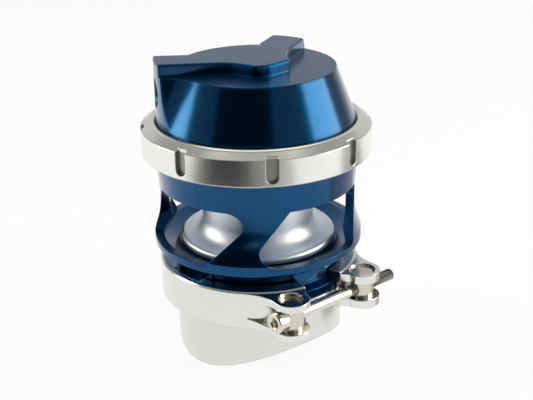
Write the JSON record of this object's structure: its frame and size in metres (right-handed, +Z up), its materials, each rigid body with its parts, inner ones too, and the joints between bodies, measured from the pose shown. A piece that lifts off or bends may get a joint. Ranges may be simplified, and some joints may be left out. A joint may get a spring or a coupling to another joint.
{
  "type": "blow-off valve",
  "caption": "Vent-to-air blow-off valve: weld spigot coped to a pipe, hinged V-band clamp, slotted body with a trumpet valve, spanner collar and conical spring cap with a side port.",
  "frame": {"origin": "on the valve's axis at the crown of the charge pipe, where the coped spigot's wall is first a full circle", "axes": "+Z up the valve's axis from pipe to cap, -Y towards the front in the picture, clamp opening at -50 degrees from +X"},
  "size_m": [0.0862, 0.0841, 0.1048],
  "materials": {
    "blue_anodised": "bright blue anodised aluminium",
    "machined_aluminium": "fine turned aluminium",
    "polished_steel": "tumbled and polished stainless steel",
    "spring_steel": "drawn spring wire",
    "seal_rubber": "black fluoroelastomer",
    "diaphragm_rubber": "fabric-reinforced silicone",
    "bronze": "sintered bronze"
  },
  "bodies": {
    "base": {"weld_flange": "machined_aluminium", "flange_oring": "seal_rubber", "clamp_front": "polished_steel", "hinge_pin": "polished_steel"},
    "housing": {"body": "blue_anodised", "guide_carrier": "machined_aluminium", "guide_bush": "bronze", "neck_seal": "seal_rubber", "diaphragm": "diaphragm_rubber", "outer_spring": "spring_steel", "inner_spring": "spring_steel"},
    "moving_valve": {"valve": "machined_aluminium", "valve_seal": "seal_rubber", "seal_retainer": "machined_aluminium", "lower_plate": "machined_aluminium", "upper_plate": "machined_aluminium", "shaft_washer": "polished_steel", "shaft_nut": "polished_steel", "valve_shaft": "polished_steel"},
    "collar": {"locking_collar": "machined_aluminium"},
    "spring_cap": {"cap": "blue_anodised"},
    "clamp_half": {"clamp_rear": "polished_steel"},
    "screw_pivot": {"barrel_pin": "polished_steel"},
    "screw": {"clamp_screw": "polished_steel"},
    "nut_pivot": {"barrel_nut": "polished_steel"}
  },
  "joints": [
    {"name": "body_turn", "type": "hinge", "parent": "base", "child": "housing", "pos_m": [0, 0, 0.018], "axis": [0, 0, 1], "continuous": true},
    {"name": "valve_lift", "type": "slide", "parent": "housing", "child": "moving_valve", "axis": [0, 0, 1], "range_m": [0, 0.0095], "stiffness_N_per_m": 4000, "springref_m": -0.008, "deforming": ["diaphragm", "outer_spring", "inner_spring"]},
    {"name": "collar_turn", "type": "hinge", "parent": "housing", "child": "collar", "pos_m": [0, 0, 0.0665], "axis": [0, 0, 1], "continuous": true},
    {"name": "cap_turn", "type": "hinge", "parent": "housing", "child": "spring_cap", "pos_m": [0, 0, 0.069], "axis": [0, 0, 1], "continuous": true},
    {"name": "clamp_open", "type": "hinge", "parent": "base", "child": "clamp_half", "pos_m": [-0.02462, 0.02934, 0.018], "axis": [0, 0, 1], "range_deg": [0, 8]},
    {"name": "screw_swing", "type": "hinge", "parent": "base", "child": "screw_pivot", "pos_m": [0.01065, -0.03773, 0.0176], "axis": [0, 0, 1], "range_deg": [0, 4.5]},
    {"name": "screw_spin", "type": "hinge", "parent": "screw_pivot", "child": "screw", "pos_m": [0.01065, -0.03773, 0.0176], "axis": [0.766, 0.6428, 0], "continuous": true},
    {"name": "nut_swing", "type": "hinge", "parent": "clamp_half", "child": "nut_pivot", "pos_m": [0.03531, -0.01704, 0.0176], "axis": [0, 0, 1], "range_deg": [-4.5, 0]}
  ],
  "couplings": [
    {"joint": "screw_swing", "follows": "clamp_open", "ratio": 0.5},
    {"joint": "nut_swing", "follows": "clamp_open", "ratio": -0.5}
  ]
}
